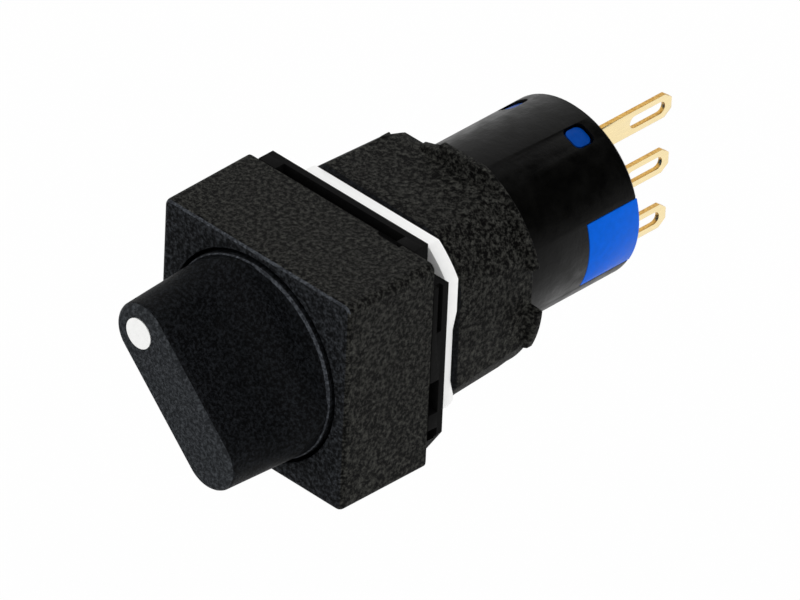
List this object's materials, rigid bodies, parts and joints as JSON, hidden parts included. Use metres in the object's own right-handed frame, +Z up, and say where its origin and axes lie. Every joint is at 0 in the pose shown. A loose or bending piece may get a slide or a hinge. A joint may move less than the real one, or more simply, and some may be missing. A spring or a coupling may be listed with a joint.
{
  "type": "rotary switch",
  "caption": "Panel-mounted two-position rotary switch: square bezel, bar-handle knob, threaded sleeve with lock nut, plug-on changeover contact block with solder tabs.",
  "frame": {"origin": "on the switch axis, in the panel's front plane where the gasket seats", "axes": "+Y along the switch axis from the knob towards the terminals, +Z up, +X to the right seen from the knob's side"},
  "size_m": [0.0244, 0.0611, 0.0228],
  "materials": {
    "grained_black": "fine spark-eroded grain, semi-matt",
    "smooth_black": "smooth satin",
    "black_rubber": "matt",
    "white_plastic": "matt",
    "natural_plastic": "natural nylon, satin",
    "blue_plastic": "satin",
    "gold_plate": "bright gold plating",
    "spring_bronze": "rolled",
    "silver_contact": "satin",
    "steel": "bright"
  },
  "bodies": {
    "switch_body": {"operator_body": "smooth_black", "bezel": "grained_black", "panel_gasket": "black_rubber", "rotor_retaining_ring": "steel", "contact_housing": "smooth_black", "terminal_base": "blue_plastic", "terminal_upper": "gold_plate", "terminal_middle": "gold_plate", "terminal_lower": "gold_plate", "fixed_rivet_upper": "silver_contact", "fixed_rivet_lower": "silver_contact", "return_spring": "steel"},
    "knob_and_rotor": {"knob": "grained_black", "indicator_dot": "white_plastic", "shaft_seal_ring": "black_rubber", "cam_rotor": "natural_plastic", "detent_ball_a": "steel", "detent_ball_b": "steel", "detent_spring": "steel"},
    "contact_plunger": {"plunger": "natural_plastic"},
    "moving_contact": {"rocking_contact": "spring_bronze", "moving_rivet_upper": "silver_contact", "moving_rivet_lower": "silver_contact"},
    "locking_plate": {"anti_rotation_plate": "white_plastic"},
    "locking_nut": {"lock_nut": "grained_black"}
  },
  "joints": [
    {"name": "knob_turn", "type": "hinge", "parent": "switch_body", "child": "knob_and_rotor", "pos_m": [0, 0, 0], "axis": [0, 1, 0], "range_deg": [0, 90]},
    {"name": "plunger_slide", "type": "slide", "parent": "switch_body", "child": "contact_plunger", "axis": [0, 1, 0], "range_m": [0, 0.00062], "deforming": ["return_spring"]},
    {"name": "contact_rock", "type": "hinge", "parent": "switch_body", "child": "moving_contact", "pos_m": [0, 0.0189, 0], "axis": [1, 0, 0], "range_deg": [0, 10.05]},
    {"name": "plate_travel", "type": "slide", "parent": "switch_body", "child": "locking_plate", "axis": [0, 1, 0], "range_m": [-0.00101, 0.00301]},
    {"name": "nut_turn", "type": "hinge", "parent": "locking_plate", "child": "locking_nut", "pos_m": [0, 0, 0], "axis": [0, 1, 0], "range_deg": [-360, 1080]}
  ],
  "couplings": [
    {"joint": "plunger_slide", "follows": "knob_turn", "m_per_rad": 0.0003899},
    {"joint": "contact_rock", "follows": "knob_turn", "ratio": 0.11111},
    {"joint": "plate_travel", "follows": "nut_turn", "m_per_rad": 0.00015915}
  ]
}
